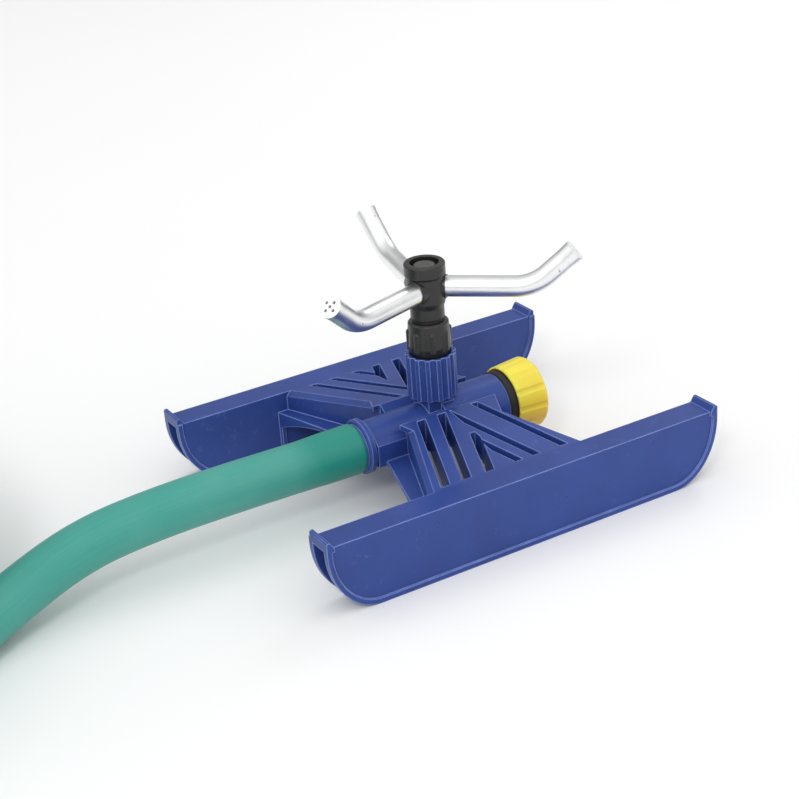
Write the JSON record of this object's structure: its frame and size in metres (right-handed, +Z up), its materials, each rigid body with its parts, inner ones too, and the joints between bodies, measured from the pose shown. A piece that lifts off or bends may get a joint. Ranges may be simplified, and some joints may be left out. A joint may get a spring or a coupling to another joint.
{
  "type": "rotary sprinkler",
  "caption": "Three-arm rotary lawn sprinkler on a sled base, with a fluted riser, bent metal arms, multi-hole nozzles, a screw cap on the outlet and its supply hose.",
  "frame": {"origin": "on the rotor axis, on the ground plane under the middle of the sled", "axes": "+X along the runners towards the capped outlet, the hose leaves along -X, +Y across the runners, +Z up along the rotor axis"},
  "size_m": [0.5794, 0.2688, 0.1144],
  "materials": {
    "blue_plastic": "moulded polypropylene, semi-gloss",
    "black_plastic": "moulded acetal, semi-gloss",
    "grey_plastic": "moulded, matt",
    "white_plastic": "machined, matt",
    "nozzle_white": "moulded, satin",
    "yellow_plastic": "moulded polypropylene, semi-gloss",
    "bright_aluminium": "polished",
    "brass": "turned",
    "seal_rubber": "moulded, matt",
    "hose_green": "extruded PVC, satin",
    "strap_black": "woven hook-and-loop strap"
  },
  "bodies": {
    "sled": {"sled_base": "blue_plastic", "hose_tail": "blue_plastic", "tail_ring": "seal_rubber", "outlet_ring": "seal_rubber", "bearing_body": "black_plastic", "body_washer": "seal_rubber", "spindle_seal": "seal_rubber", "thrust_washer": "white_plastic", "wear_washer": "black_plastic", "garden_hose": "hose_green", "hose_coil": "hose_green", "hose_tie": "strap_black", "connector_tail": "black_plastic", "connector_washer": "seal_rubber"},
    "rotor": {"rotor_hub": "black_plastic", "rotor_plug": "grey_plastic", "spindle": "brass", "arm_tube_1": "bright_aluminium", "arm_tube_2": "bright_aluminium", "arm_tube_3": "bright_aluminium", "nozzle_1": "nozzle_white", "nozzle_2": "nozzle_white", "nozzle_3": "nozzle_white"},
    "cap_travel": {"cap_washer": "seal_rubber"},
    "cap": {"end_cap": "yellow_plastic"},
    "swivel_nut": {"connector_nut": "yellow_plastic"}
  },
  "joints": [
    {"name": "rotor_spin", "type": "hinge", "parent": "sled", "child": "rotor", "pos_m": [0, 0, 0.095], "axis": [0, 0, 1], "continuous": true},
    {"name": "cap_turn", "type": "hinge", "parent": "cap_travel", "child": "cap", "pos_m": [0.046, 0, 0.0285], "axis": [1, 0, 0], "range_deg": [0, 1800]},
    {"name": "cap_unscrew", "type": "slide", "parent": "sled", "child": "cap_travel", "axis": [1, 0, 0], "range_m": [0, 0.00907]},
    {"name": "connector_nut_spin", "type": "hinge", "parent": "sled", "child": "swivel_nut", "pos_m": [-0.4464, 0.0947, 0.084], "axis": [0, 1, 0], "continuous": true}
  ],
  "couplings": [
    {"joint": "cap_turn", "follows": "cap_unscrew", "rad_per_m": 3463.7}
  ]
}
